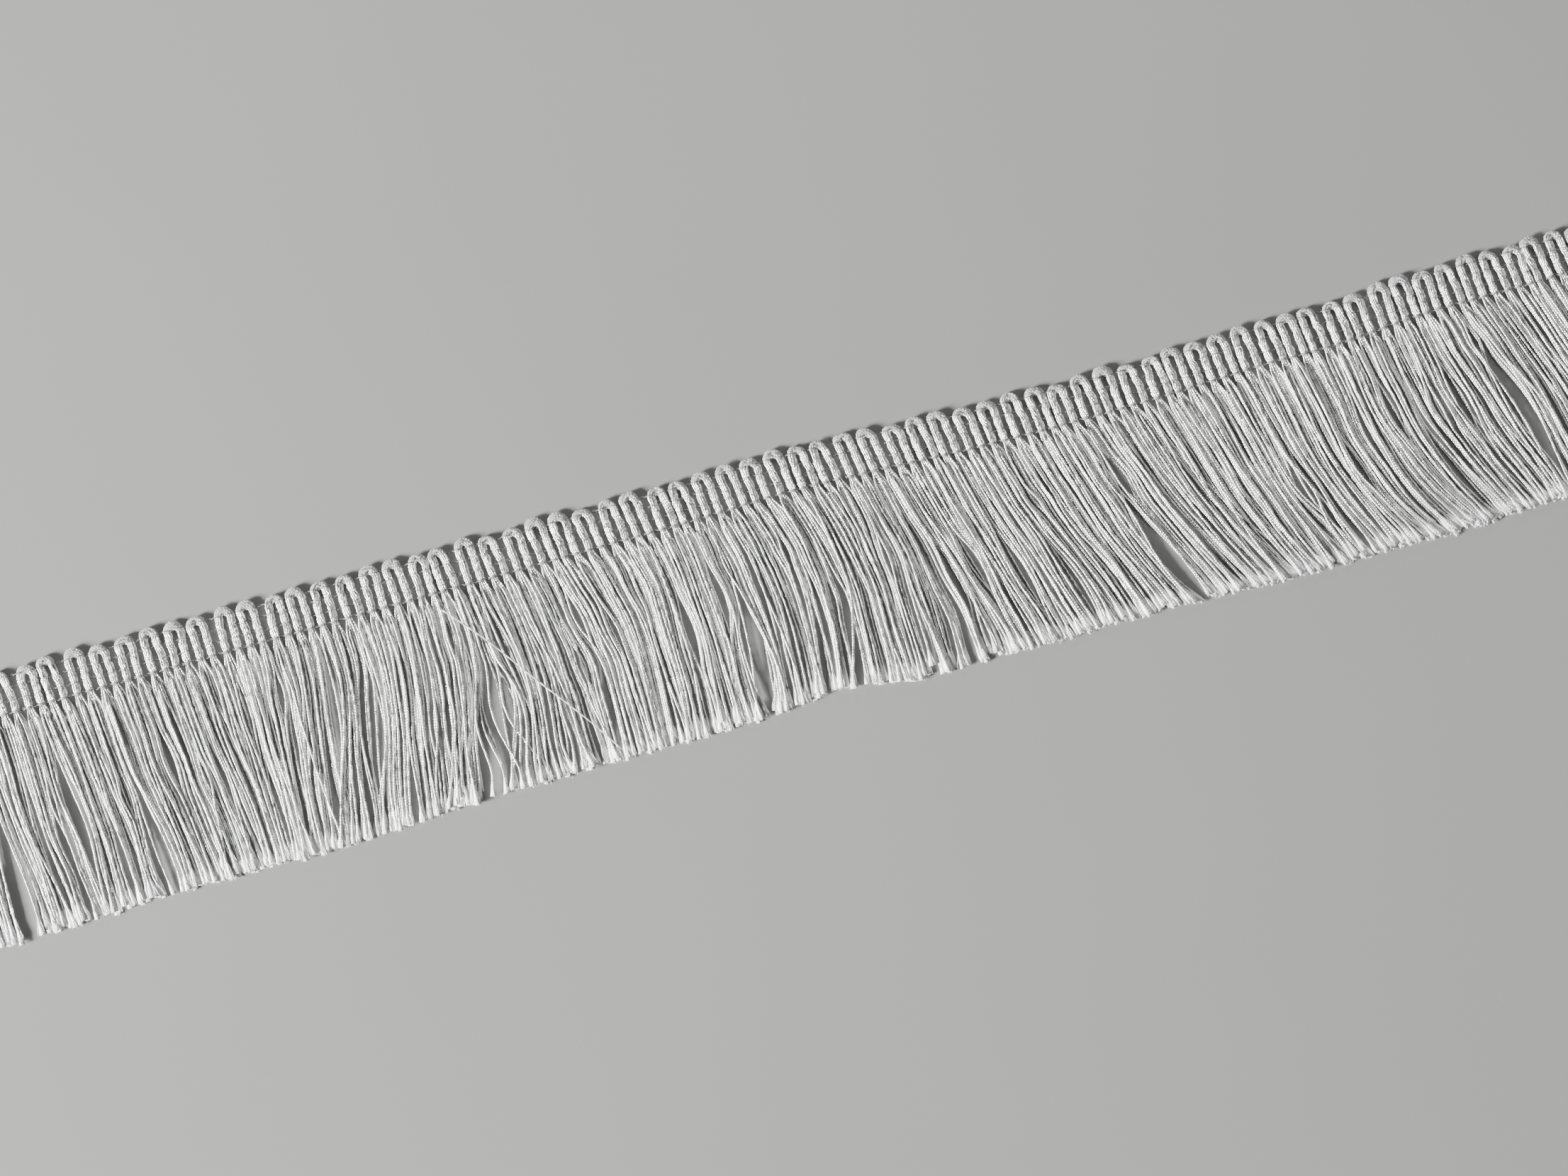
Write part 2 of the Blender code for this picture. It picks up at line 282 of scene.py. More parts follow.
# The fibres of a cut end, in mm: how far back they start, the mean and spread of how far they reach
# past the cut, how far they fan out at their starts and tips, and their radius along them
HAIR_STARTS = (2.2, 3.6)
HAIR_REACH = (0.02, 0.16)
HAIR_FAN = (0.12, 0.34)
HAIR_RADII = (0.05, 0.05, 0.045, 0.03)

# The loose strip of film: x and the depth below the feet of the loops of its two ends, in mm
FilmEnd = namedtuple("FilmEnd", "x depth")
LOOSE_FILM = [FilmEnd(-63.5, 3.5), FilmEnd(-37.9, 38.2)]
FILM_BOW = 0.5 * MM
FILM_WAVER = 0.12 * MM
FILM_HALF_WIDTH = 0.15 * MM
FILM_HALF_THICKNESS = 0.03 * MM

# Where each yarn of a leg lies in its bundle, in mm: across the leg and above the surface
Lay = namedtuple("Lay", "across height")
BUNDLE = [
    Lay(-0.54, 0.88),
    Lay(-0.18, 0.98),
    Lay(0.18, 0.98),
    Lay(0.54, 0.88),
    Lay(-0.36, 0.42),
    Lay(0.0, 0.38),
    Lay(0.36, 0.42),
]
# Half a bundle's width, to the outsides of its yarns
BUNDLE_REACH = 0.76 * MM
# The share of loops whose yarns don't swap places over the arch
PLAIN_LOOPS = 0.35
# How far below its foot a leg's yarns go, into the skirt
LEG_TUCK = 0.2 * MM

# The heading's yarns: how uneven they are, their width and height as shares of a skirt yarn's, how
# much wider and flatter they are over an arch, and how far down from the loops' tops they look
# greyer, and over what distance that fades
HEADING_BEADS = 0.17
HEADING_WIDER = 1.12
HEADING_HIGHER = 1.05
ARCH_FLATTER = 0.6
CROWN_DEPTH = 2.1 * MM
CROWN_EDGE = 0.7 * MM

# The length of one turn of the twist, and how far along its pattern of flecks each yarn may start
YARN_TWIST_MM = 1.1
FILM_TWIST_MM = 4.0
PATTERN_SHIFT = 5 * MM

# The binding rows: depth below the loops' tops and thread diameter in mm, the share of a leg's
# width that they pinch in, how solid the thread looks, and its turns round each leg
Row = namedtuple("Row", "depth thread pinch solid turns")
BINDING_ROWS = [
    Row(1.5, 0.15, 0.07, 0.2, 1),
    Row(3.6, 0.11, 0.2, 0.12, 1),
    Row(6.1, 0.11, 0.2, 0.12, 1),
    Row(8.3, 0.24, 0.28, 0.4, 2),
]
# How far up and down a leg each pinch reaches, and how wide a leg is to a thread that crosses it
PINCH_REACH = 0.42 * MM
CROSSING_REACH = 0.72 * MM
# How far above and beside a leg's middle the threads pass, on top of half a yarn
THREAD_OVER = 0.52 * MM
THREAD_BESIDE = 0.54 * MM
# The chain loops between legs: half their size along the row, down the legs and up
CHAIN_ALONG = 0.42 * MM
CHAIN_DOWN = 0.2 * MM
CHAIN_UP = 0.25 * MM

# The stage: what the view takes in and how it is rolled, and the softboxes
VIEW_WIDTH = 298 * MM
VIEW_ROLL = -15.72
CAMERA_HEIGHT = 0.9
SENSOR = 36.0
FLOOR_SIDE = 1.6
WORLD_STRENGTH = 0.06
Softbox = namedtuple("Softbox", "name place size power")
SOFTBOXES = [
    Softbox("key", (-1.75, -0.22, 0.64), 0.45, 240.0),
    Softbox("fill", (1.2, -0.1, 0.9), 0.7, 3.0),
    Softbox("top", (0.1, 0.2, 1.5), 0.5, 2.5),
    Softbox("back", (0.1, 1.5, 0.6), 0.5, 10.0),
]


# --- curves through the tables -------------------------------------------------------------------


def glide(knots, values, x):
    """Cubic curve through the points, each point's slope being that of its two neighbours'
    chord."""
    knots = np.asarray(knots, float)
    values = np.asarray(values, float)
    slopes = np.gradient(values, knots)
    i = np.clip(np.searchsorted(knots, x) - 1, 0, len(knots) - 2)
    step = knots[i + 1] - knots[i]
    t = np.clip((x - knots[i]) / step, 0, 1)
    start = values[i] * (1 + 2 * t) + slopes[i] * step * t
    end = values[i + 1] * (3 - 2 * t) - slopes[i + 1] * step * (1 - t)
    return start * (1 - t) ** 2 + end * t**2


def through(rows, column, x):
    """Height at x, in metres, of a smooth curve through one column of a table."""
    return glide([row.x for row in rows], [getattr(row, column) for row in rows], x / MM) * MM


def rise(x):
    return through(HEADING_LIE, "rise", x)


def lean(x):
    return through(HEADING_LIE, "lean", x)


def drift(roots, depths):
    """Sideways drift of yarns from these roots at these depths: the sum over the table's depths of
    each column's value at the root, times that depth's share of a smooth curve through them all."""
    total = 0
    for k, name in enumerate(Comb._fields[1:], 1):
        share = glide(COMB_DEPTHS, np.eye(len(COMB_DEPTHS))[k], depths)
        total = total + through(COMBING, name, roots) * share
    return total


def lens(start, end, depths):
    """Share of a parting's width that is open: none a little past its ends and all halfway, as a
    sine that eases in."""
    past = 0.15 * (end - start)
    inside = np.clip((depths - start + past) / (end - start + 2 * past), 0, 1)
    return np.sin(np.pi * inside) ** 1.6


def parting_root(parting):
    """Where on the heading a parting starts, found by following the combing back up."""
    depth = (parting.start + min(parting.end, DEEPEST_CUT)) / 2 * MM
    place = np.array([parting.x * MM])
    for _ in range(12):
        place = parting.x * MM - drift(place, np.array([depth]))
    return place[0]


def loop_centres():
    """The loops' places, a little further apart at the -X end, with a small unevenness."""
    i = np.arange(LOOP_COUNT)
    along = (2 * i + 1) / LOOP_COUNT - 1
    even = LENGTH / 2 * (along + PITCH_SPREAD / 2 * (1 - along**2))
    return even + PITCH_JITTER * (np.sin(2.4 * i) + np.sin(5.1 * i + 1))


def leg_centres():
    """The legs' places along the heading, two for each loop."""
    return (loop_centres()[:, None] + np.array([-LEG_REACH, LEG_REACH])).ravel()


def ease(t):
    """Smooth step from 0 to 1: t squared times 3 - 2t."""
    t = np.clip(t, 0, 1)
    return t * t * (3 - 2 * t)


def pinch(above_feet):
    """Share of its width that a leg keeps at a height: a bell-shaped dip at each binding row."""
    kept = 1.0
    for row in BINDING_ROWS:
        off = above_feet - (HEADING_DEPTH - row.depth * MM)
        kept = kept - row.pinch * np.exp(-((off / PINCH_REACH) ** 2))
    return kept


# --- meshes from arrays --------------------------------------------------------------------------


def unit(vectors):
    return vectors / np.linalg.norm(vectors, axis=-1, keepdims=True)


def tube_rings(paths, half_width, half_height, sides, turn=0.0, up=(0, 0, 1)):
    """Rings of tubes along many paths at once. Each ring is an ellipse square to its path: the
    path's point, plus half_width times the cosine of the angle across it, plus half_height times
    the sine above it. turn rotates the ellipse about the path."""
    along = unit(np.gradient(paths, axis=1))
    across = unit(np.cross(along, up))
    above = np.cross(across, along)
    angle = 2 * np.pi * np.arange(sides) / sides
    shape = paths.shape[:2]
    wide = np.broadcast_to(half_width, shape)[..., None] * np.cos(angle)
    high = np.broadcast_to(half_height, shape)[..., None] * np.sin(angle)
    turn = np.broadcast_to(turn, shape)[..., None]
    u = wide * np.cos(turn) - high * np.sin(turn)
    v = wide * np.sin(turn) + high * np.cos(turn)
    return paths[:, :, None] + across[:, :, None] * u[..., None] + above[:, :, None] * v[..., None]


def path_lengths(paths):
    """Distance along each path at each of its points."""
    steps = np.linalg.norm(np.diff(paths, axis=1), axis=-1)
    return np.concatenate([np.zeros((len(paths), 1)), np.cumsum(steps, axis=1)], axis=1)


def tubes_object(name, rings, along, marks, material):
    """One mesh of many closed tubes: a quad between each pair of neighbours on two rings, and a
    flat cap at both ends. The UV map holds the share of the way round and the millimetres along."""
    count, steps, sides, _ = rings.shape
    index = np.arange(count * steps * sides).reshape(count, steps, sides)
    after = np.roll(index, -1, axis=2)
    quads = np.stack([index[:, :-1], index[:, 1:], after[:, 1:], after[:, :-1]], axis=-1)
    quads = quads.reshape(-1, 4)
    caps = np.concatenate([index[:, 0], index[:, -1, ::-1]])
    corners = np.concatenate([quads.ravel(), caps.ravel()])
    sizes = np.concatenate([np.full(len(quads), 4), np.full(len(caps), sides)])
    starts = np.concatenate([[0], np.cumsum(sizes)[:-1]])

    mesh = bpy.data.meshes.new(name)
    mesh.vertices.add(index.size)
    mesh.vertices.foreach_set("co", rings.astype(np.float32).ravel())
    mesh.loops.add(len(corners))
    mesh.loops.foreach_set("vertex_index", corners.astype(np.int32))
    mesh.polygons.add(len(sizes))
    mesh.polygons.foreach_set("loop_start", starts.astype(np.int32))
    smooth = np.concatenate([np.ones(len(quads), bool), np.zeros(len(caps), bool)])
    mesh.polygons.foreach_set("use_smooth", smooth)
    mesh.update(calc_edges=True)

    around = np.broadcast_to(np.arange(sides) / sides, (count, steps - 1, sides))
    u = np.stack([around, around, around + 1 / sides, around + 1 / sides], axis=-1)
    near = np.broadcast_to(along[:, :-1, None] / MM, around.shape)
    far = np.broadcast_to(along[:, 1:, None] / MM, around.shape)
    v = np.stack([near, far, far, near], axis=-1)
    cap_v = np.concatenate([along[:, 0], along[:, -1]]) / MM
    cap_uv = np.stack([np.full(caps.shape, 0.5), np.repeat(cap_v[:, None], sides, axis=1)], axis=-1)
    uv = np.concatenate([np.stack([u, v], axis=-1).reshape(-1, 2), cap_uv.reshape(-1, 2)])
    layer = mesh.uv_layers.new(name="UVMap")
    layer.data.foreach_set("uv", uv.astype(np.float32).ravel())

    for mark, values in marks.items():
        spread = np.broadcast_to(values[..., None], (count, steps, sides)).astype(np.float32)
        mesh.attributes.new(mark, "FLOAT", "POINT").data.foreach_set("value", spread.ravel())
    mesh.materials.append(material)
    mesh.validate()
    thing = bpy.data.objects.new(name, mesh)
    bpy.context.scene.collection.objects.link(thing)
    return thing


def points(x, y, z):
    """Points from three arrays that broadcast together."""
    return np.stack(np.broadcast_arrays(x, y, z), axis=-1)


# --- materials -----------------------------------------------------------------------------------


class Value:
    """A node socket that takes part in sums, so that an expression adds its Math nodes."""

    def __init__(self, shop, socket):
        self.shop = shop
        self.socket = socket

    def math(self, operation, *others):
        inputs = dict(enumerate((self, *others)))
        return self.shop.node("ShaderNodeMath", {"operation": operation}, inputs)

    def __add__(self, other):
        return self.math("ADD", other)

    def __sub__(self, other):
        return self.math("SUBTRACT", other)

    def __mul__(self, other):
        return self.math("MULTIPLY", other)

    def __rsub__(self, other):
        return self.shop.node("ShaderNodeMath", {"operation": "SUBTRACT"}, {0: other, 1: self})

    __radd__ = __add__
    __rmul__ = __mul__

    def sine(self):
        return self.math("SINE")

    def size(self):
        return self.math("ABSOLUTE")

    def between(self, low, high):
        """0 below low, 1 above high, and a smooth step between."""
        inputs = {"Value": self, "From Min": low, "From Max": high}
        return self.shop.node("ShaderNodeMapRange", {"interpolation_type": "SMOOTHSTEP"}, inputs)


class Shop:
    """Adds nodes to one material."""

    def __init__(self, name):
        self.material = bpy.data.materials.new(name)
        self.material.use_nodes = True
        self.tree = self.material.node_tree
        self.shader = self.tree.nodes["Principled BSDF"]

    def node(self, kind, settings, inputs, output=0):
        """A node with its settings made first, then its sockets filled with values or links."""
        made = self.tree.nodes.new(kind)
        for key, setting in settings.items():
            setattr(made, key, setting)
        for key, given in inputs.items():
            self.fill(made.inputs[key], given)
        return Value(self, made.outputs[output])

    def fill(self, socket, given):
        if isinstance(given, Value):
            self.tree.links.new(given.socket, socket)
        else:
            socket.default_value = given

    def set(self, **inputs):
        for key, given in inputs.items():
            self.fill(self.shader.inputs[key.replace("_", " ")], given)

    def mark(self, name):
        """The value of one of the piece's own attributes."""
        return self.node("ShaderNodeAttribute", {"attribute_name": name}, {}, "Fac")

    def around_and_along(self):
        """The UV map's two parts: the share of the way round a yarn, and the mm along it."""
        uv = self.node("ShaderNodeUVMap", {"uv_map": "UVMap"}, {})
        around = self.node("ShaderNodeSeparateXYZ", {}, {0: uv})
        return around, Value(self, around.socket.node.outputs[1])

    def noise(self, x, y, z, scale, detail=2.0):
        place = self.node("ShaderNodeCombineXYZ", {}, {0: x, 1: y, 2: z})
        inputs = {"Vector": place, "Scale": scale, "Detail": detail}
        return self.node("ShaderNodeTexNoise", {}, inputs)

    def blend(self, share, start, end):
        """Colour between two others, which are inputs 6 and 7 of a Mix node, as output 2."""
        inputs = {"Factor": share, 6: start, 7: end}
        return self.node("ShaderNodeMix", {"data_type": "RGBA"}, inputs, 2)

    def bump(self, height, strength, distance):
        inputs = {"Height": height, "Strength": strength, "Distance": distance}
        return self.node("ShaderNodeBump", {}, inputs)


def rgba(colour, share=1.0):
    return (*[part * share for part in colour], 1.0)


def yarn_material(name, colours, twist_mm):
    """Twisted metallic film: two plies that wind round the yarn, painted glints along it on
    the grey of film seen edge on, each yarn with its own greyness and the skirt's lower layers
    darker with painted shade, turning white and matt where the fray rises to 1."""
    shop = Shop(name)
    around, along = shop.around_and_along()
    tone = shop.mark("tone")
    end = shop.mark("fray")
    lay = tone * 61.0
    plies = ((around + along * (1 / twist_mm)) * (2 * np.pi)).sine().size()
    flecks = shop.noise(around * 1.2 + lay, along * 0.9, lay, 1.0, 2.0)
    broad = shop.noise(lay, along * 0.32, 3.0, 1.0, 1.0)
    # Painted glints: flecks of lit film, lighter than the grey of film seen edge on
    painted_glint = (flecks - tone * 0.12).between(0.14, 0.42) * 0.8 + broad.between(0.3, 0.6) * 0.2
    silver = shop.blend(painted_glint, rgba(colours.dull_yarn), rgba(colours.bright_yarn))
    # Greyer by each yarn's value, which on the skirt's lower layers is painted shade
    toned_and_shaded = shop.blend(tone * 0.5, silver, rgba(colours.dull_yarn))
    shop.set(
        Base_Color=shop.blend(end, toned_and_shaded, rgba(colours.cut_ends)),
        Metallic=0.7 - end * 0.58,
        Roughness=0.2 + flecks.between(0.3, 0.7) * 0.18 + end * 0.35,
        Normal=shop.bump(plies + flecks * 0.8, 0.75, 0.05 * MM),
    )
    return shop.material


def thread_material(name, colour, solid):
    """Fine clear grey thread: mostly see-through, smooth, a little cloudy along its length."""
    shop = Shop(name)
    _, along = shop.around_and_along()
    cloud = shop.noise(along * 0.8, 0.0, 0.0, 1.0, 1.0)
    shop.set(
        Base_Color=shop.blend(cloud.between(0.3, 0.7), rgba(colour, 0.8), rgba(colour, 1.15)),
        Roughness=0.22 + cloud * 0.15,
        Alpha=solid + cloud * 0.35,
    )
    return shop.material


def floor_material(name, colour):
    """Plain pale studio floor with the faintest unevenness."""
    shop = Shop(name)
    place = shop.node("ShaderNodeTexCoord", {}, {}, "Object")
    cloud = shop.node("ShaderNodeTexNoise", {}, {"Vector": place, "Scale": 9.0, "Detail": 2.0})
    shop.set(
        Base_Color=shop.blend(cloud.between(0.3, 0.7), rgba(colour, 0.98), rgba(colour, 1.01)),
        Roughness=0.85,
    )
    return shop.material


# --- the skirt's yarns ---------------------------------------------------------------------------


class Yarns:
    """Every skirt yarn's path, from just inside its leg to the cut."""

    def __init__(self, sizes):
        dice = np.random.default_rng(41)
        legs = leg_centres()
        count = len(legs) * len(BUNDLE)
        order = np.argsort([lay.across for lay in BUNDLE])
        rank = np.empty(len(BUNDLE))
        rank[order] = np.arange(len(BUNDLE))
        spread = (rank + 0.5) / len(BUNDLE) - 0.5
        self.leg = np.repeat(legs, len(BUNDLE))
        edges = np.concatenate([[1.5 * legs[0] - 0.5 * legs[1]], (legs[1:] + legs[:-1]) / 2])
        edges = np.append(edges, 1.5 * legs[-1] - 0.5 * legs[-2])
        widths = np.repeat(np.diff(edges), len(BUNDLE))
        middles = np.repeat((edges[1:] + edges[:-1]) / 2, len(BUNDLE))
        self.root = middles + np.tile(spread, len(legs)) * widths + dice.normal(0, 0.06 * MM, count)
        self.start_across = np.tile([lay.across * MM for lay in BUNDLE], len(legs))
        self.start_height = np.tile([lay.height * MM for lay in BUNDLE], len(legs))
        cut = through(CUT_LINE, "depth", self.root)
        short = np.where(dice.random(count) < SHORT_YARNS, dice.uniform(*SHORTER_BY, count) * MM, 0)
        self.cut = cut + dice.normal(0, CUT_UNEVENNESS, count) - short
        tone = 0.35 * dice.random(count) + 0.4 * through(SHEEN, "dull", self.root) / MM
        self.layer = dice.permutation(np.arange(count) % len(LAYER_PAINTED_SHADE))
        # Painted shade: the lower layers are greyer, for the shade that the yarns above cast
        self.tone = np.clip(tone + np.array(LAYER_PAINTED_SHADE)[self.layer], 0, 1)
        self.dice = dice
        self.path = self.lay_down(sizes)

    def lay_down(self, sizes):
        """x is the bundle's place eased out to the root over the flare, plus the combing's drift,
        the partings' push, each yarn's slow waves, its slant and its lock's, and the pull of its
        tuft. y is the heading's lie less the depth, and z eases from the bundle to the layer."""
        dice, count = self.dice, len(self.root)
        steps = sizes.skirt_steps + 1
        share = np.linspace(0, 1, steps)
        depths = -SKIRT_TUCK + share * (self.cut[:, None] + SKIRT_TUCK)
        flare = ease((depths + 0.1 * MM) / sizes.flare_depth)
        root = self.root[:, None]
        leg = self.leg[:, None]
        across = leg + self.start_across[:, None] * pinch(-np.maximum(depths, 0) * 0.5)
        x = across + (root - across) * flare
        x = x + drift(root, np.maximum(depths, 0))
        x = x + self.push(depths)

        deep = np.clip(depths / sizes.skirt_depth, 0, 1)
        for waves in WAVES:
            phase = dice.uniform(0, 2 * np.pi, (count, 1))
            size = dice.normal(0, WAVE_SIZE, (count, 1)) / waves
            x = x + size * np.sin(2 * np.pi * waves * deep + phase) * ease(deep * 3)
        ruffle = sum(np.exp(-(((leg - r.x * MM) / (r.reach * MM)) ** 2)) for r in RUFFLES)
        stray = dice.random((count, 1)) < STRAYS + RUFFLE_STRAYS * ruffle
        slant = dice.normal(0, np.where(stray, STRAY_SLANT, SLANT))
        lock = np.repeat(dice.normal(0, LOCK_SLANT, count // len(BUNDLE)), len(BUNDLE))[:, None]
        x = x + slant * deep ** dice.uniform(1.2, 2.6, (count, 1)) + lock * deep**1.6
        edges = np.cumsum(dice.uniform(*TUFT_SIZES, 200)) * MM + root.min()
        middles = (edges[1:] + edges[:-1]) / 2
        tuft = middles[np.clip(np.searchsorted(edges, root) - 1, 0, len(middles) - 1)]
        x = x + (tuft - root) * dice.uniform(0, TUFT_PULL, (count, 1)) * deep**2

        level = LOWEST_LAYER + self.layer[:, None] * LAYER_STEP
        level = level + stray * STRAY_STEP + dice.normal(0, 0.04 * MM, (count, 1))
        level = level + 0.09 * MM * np.sin(2 * np.pi * (1.5 * deep + dice.random((count, 1))))
        level = level * (1 - 0.25 * ease(deep * 4 - 3))
        z = self.start_height[:, None] * (1 - flare) + level * flare
        y = FOOT + rise(leg) - depths
        return np.stack([x, y, np.maximum(z, LOWEST_MIDDLE)], axis=-1)

    def push(self, depths):
        """Sum over the partings of half the width times the lens at each depth, away from the
        parting's root, fading with the distance from it. A few yarns at each parting go astray
        across it."""
        dice, legs = self.dice, leg_centres()
        openings = []
        for p in PARTINGS:
            width = p.width * MM + OPEN_WIDER * (p.end - p.start) * MM
            openings.append((parting_root(p), p.start * MM, p.end * MM, width, CLOSE_LOCKS))
        for edge in (legs[1:] + legs[:-1]) / 2:
            for _ in range(FINE_PARTINGS):
                start = dice.uniform(*FINE_STARTS) * MM
                end = min(start + dice.uniform(*FINE_LENGTHS) * MM, FINE_DEEPEST)
                place = edge + dice.uniform(-LEG_REACH, LEG_REACH)
                width = dice.uniform(*FINE_WIDTHS) * MM
                openings.append((place, start, end, width, CLOSE_FINE_LOCKS))
        total = np.zeros_like(depths)
        for place, start, end, width, reach in openings:
            away = self.root - place
            near = np.sign(away) * np.exp(-np.abs(away) / reach) / 2
            astray = dice.random(len(away)) < ASTRAY
            near = near * np.where(astray, dice.uniform(*ASTRAY_PUSH, len(away)), 1)
            total += width * near[:, None] * lens(start, end, depths)
        return total


def add_skirt(sizes, colours):
    """The skirt in three stretches of round, beaded yarns that untwist flat towards the cut."""
    yarns = Yarns(sizes)
    dice = np.random.default_rng(7)
    material = yarn_material("brushed_yarn", colours, YARN_TWIST_MM)
    along = path_lengths(yarns.path)
    left = along[:, -1:] - along
    fray = ease(1 - left / sizes.fray_depth)
    beads = 1 + SKIRT_BEADS * dice.normal(0, 1, fray.shape)
    beads[:, :2] = 0.95
    radius = sizes.yarn_diameter / 2 * dice.uniform(0.85, 1.15, (len(along), 1))
    half_width = radius * np.clip(beads, 0.7, 1.35) * (1 + FRAYED_WIDER * fray)
    half_height = radius * np.clip(2 - beads, 0.75, 1.25) * (1 - FRAYED_FLATTER * fray)
    turn = dice.uniform(-0.5, 0.5, fray.shape) * (1 - fray)
    rings = tube_rings(yarns.path, half_width, half_height, sizes.yarn_sides, turn)
    marks = {
        "tone": np.broadcast_to(yarns.tone[:, None], fray.shape),
        "fray": fray * 0.9,
    }
    pieces = []
    names = ("skirt_left", "skirt_middle", "skirt_right")
    for name, part in zip(names, np.array_split(np.arange(len(along)), len(names))):
        chosen = {mark: values[part] for mark, values in marks.items()}
        shifted = along[part] + yarns.tone[part, None] * PATTERN_SHIFT
        pieces.append(tubes_object(name, rings[part], shifted, chosen, material))
    return pieces, yarns


def add_stray_film(colours, yarns):
    """One untwisted strip of film that lies slantwise over the skirt: a straight line from start to
    end, bowed a little as half a sine and wavering, with a flat ellipse for its section."""
    share = np.linspace(0, 1, 60)
    start, end = [np.array([point.x * MM, FOOT - point.depth * MM]) for point in LOOSE_FILM]
    bow = FILM_BOW * np.sin(np.pi * share) + FILM_WAVER * np.sin(9 * share)
    flat = start + (end - start) * share[:, None] + bow[:, None]
    height = yarns.path[:, :, 2].max() + 0.06 * MM
    path = points(flat[:, 0], flat[:, 1], height)[None]
    half_width = FILM_HALF_WIDTH * (1 + 0.2 * np.sin(14 * share))
    turn = 0.5 * np.sin(17 * share)
    rings = tube_rings(path, half_width[None], FILM_HALF_THICKNESS, 4, turn[None])
    material = yarn_material("loose_film", colours, FILM_TWIST_MM)
    marks = {"tone": np.full(path.shape[:2], 0.5), "fray": np.full(path.shape[:2], 0.25)}
    return tubes_object("loose_film", rings, path_lengths(path), marks, material)


def add_cut_ends(sizes, colours, yarns):
    """The loose fibres of each cut end: short hairs that start in the yarn and fan out past it."""
    dice = np.random.default_rng(19)
    per_yarn = sizes.hairs_per_end
    path = np.repeat(yarns.path, per_yarn, axis=0)
    count = len(path)
    end = path[:, -1]
    onward = unit(path[:, -1] - path[:, -4])
    across = np.stack([-onward[:, 1], onward[:, 0], np.zeros(count)], axis=-1)
    fan = dice.normal(0, 1, (count, 1))
    reach = dice.normal(*HAIR_REACH, (count, 1))
    back = dice.uniform(*HAIR_STARTS, (count, 1))
    start = end - onward * back * MM + across * fan * HAIR_FAN[0] * MM
    tip = end + onward * reach * MM + across * fan * HAIR_FAN[1] * MM
    lift = np.abs(dice.normal(0, 0.22 * MM, count))
    tip[:, 2] = np.clip(tip[:, 2] + lift - 0.12 * MM, 0.06 * MM, 1.5 * MM)
    bend = across * dice.normal(0, 0.06 * MM, (count, 1))
    share = np.linspace(0, 1, len(HAIR_RADII))[None, :, None]
    paths = start[:, None] * (1 - share) + tip[:, None] * share
    paths = paths + bend[:, None] * np.sin(np.pi * share)
    radii = np.array(HAIR_RADII) * MM
    rings = tube_rings(paths, radii, radii, 3)
    tone = np.repeat(yarns.tone, per_yarn)
    marks = {
        "tone": np.broadcast_to(tone[:, None], paths.shape[:2]),
        "fray": np.broadcast_to(np.linspace(0.8, 1, len(HAIR_RADII)), paths.shape[:2]),
    }
    material = yarn_material("cut_fibre", colours, YARN_TWIST_MM)
    return tubes_object("cut_ends", rings, path_lengths(paths), marks, material)


# --- the looped heading --------------------------------------------------------------------------


def loop_paths(sizes):
    """Each yarn's way through each loop, as (loop, yarn, step) points: up one leg, round the arch
    and down the other. The arch is a half ellipse; a yarn keeps its place in the bundle, measured
    square to the loop, but swaps places with another on the way over."""
    dice = np.random.default_rng(23)
    loops = np.arange(LOOP_COUNT)
    centres = loop_centres()[:, None, None]
    crown = HEADING_DEPTH + ARCH_JITTER * (np.sin(1.9 * loops) + 0.6 * np.sin(4.7 * loops + 1))
    arch = LEG_REACH * (1.02 + 0.16 * np.sin(2.3 * loops + 0.5))
    spring = (crown - arch - BUNDLE_REACH)[:, None, None]
    arch = arch[:, None, None]
    leg_steps, arch_steps = sizes.leg_steps, sizes.arch_steps
    up = np.linspace(0, 1, leg_steps + 1)[:-1]
    over = np.linspace(np.pi, 0, arch_steps + 1)
    height = np.concatenate([up, np.ones(arch_steps + 1), up[::-1]])
    angle = np.concatenate([np.full(leg_steps, np.pi), over, np.zeros(leg_steps)])
    angle = np.broadcast_to(angle, (LOOP_COUNT, 1, len(angle)))

    count = len(BUNDLE)
    first = np.tile(np.arange(count), (LOOP_COUNT, 1))
    second = dice.permuted(first, axis=1)
    plain = dice.random((LOOP_COUNT, 1)) < PLAIN_LOOPS
    second = np.where(plain, first, second)
    places = np.array([[lay.across, lay.height] for lay in BUNDLE]) * MM
    swap = ease((np.pi - angle) / np.pi * 1.6 - 0.3)
    across = places[first, 0][..., None] * (1 - swap) + places[second, 0][..., None] * swap
    level = places[first, 1][..., None] * (1 - swap) + places[second, 1][..., None] * swap

    on_arch = np.sin(angle)
    above = -LEG_TUCK + height * (spring + LEG_TUCK) + arch * on_arch
    kept = pinch(above)
    twist = dice.normal(0, 0.5, (LOOP_COUNT, 1, 1)) * np.sin(2 * np.pi * above / HEADING_DEPTH)
    level = level - LEG_MIDDLE
    turned = across * np.cos(twist) - 1.4 * level * np.sin(twist)
    level = level * np.cos(twist) + across * np.sin(twist) / 1.4
    across = turned * (kept + 0.16 * on_arch)
    level = LEG_MIDDLE + level * (kept - 0.1 * on_arch)
    side = (LEG_REACH + across) * np.cos(angle)
    above = above + across * on_arch
    skew = 0.22 * MM * np.sin(3.1 * loops + 2)[:, None, None] * ease(above / HEADING_DEPTH)
    foot = centres + side
    wobble = 0.07 * MM * np.sin(2 * np.pi * (above / (3.1 * MM) + loops[:, None, None] * 0.37))
    x = foot - lean(foot) * above / HEADING_DEPTH + skew + wobble * height
    y = FOOT + rise(foot) + above
    paths = np.stack([x, y, np.broadcast_to(level, x.shape)], axis=-1)
    return paths, np.broadcast_to(on_arch, x.shape), above


